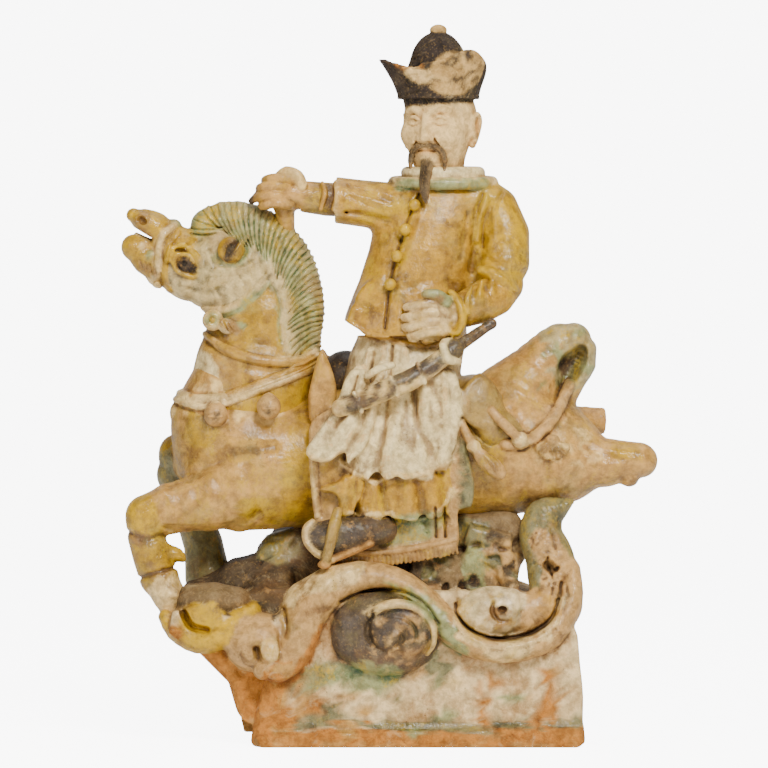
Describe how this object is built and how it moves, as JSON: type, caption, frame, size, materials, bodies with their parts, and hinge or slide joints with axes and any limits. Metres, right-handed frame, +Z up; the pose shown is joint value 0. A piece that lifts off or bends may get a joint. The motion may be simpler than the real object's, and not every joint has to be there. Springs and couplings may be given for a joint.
{
  "type": "roof ridge figure",
  "caption": "Glazed ceramic horse and rider galloping over cloud scrolls, fired in one piece with an arched saddle tile that sits over a roof ridge.",
  "frame": {"origin": "on the plane of the tile's two feet, under the middle of the whole figure's bounding box", "axes": "+Z up, +X along the ridge towards the horse's hind legs (it gallops towards -X), -Y out of the show side"},
  "size_m": [0.343, 0.14, 0.46],
  "materials": {
    "glazed_clay": "satin"
  },
  "bodies": {
    "root": {"ridge_figure": "glazed_clay"}
  },
  "joints": []
}
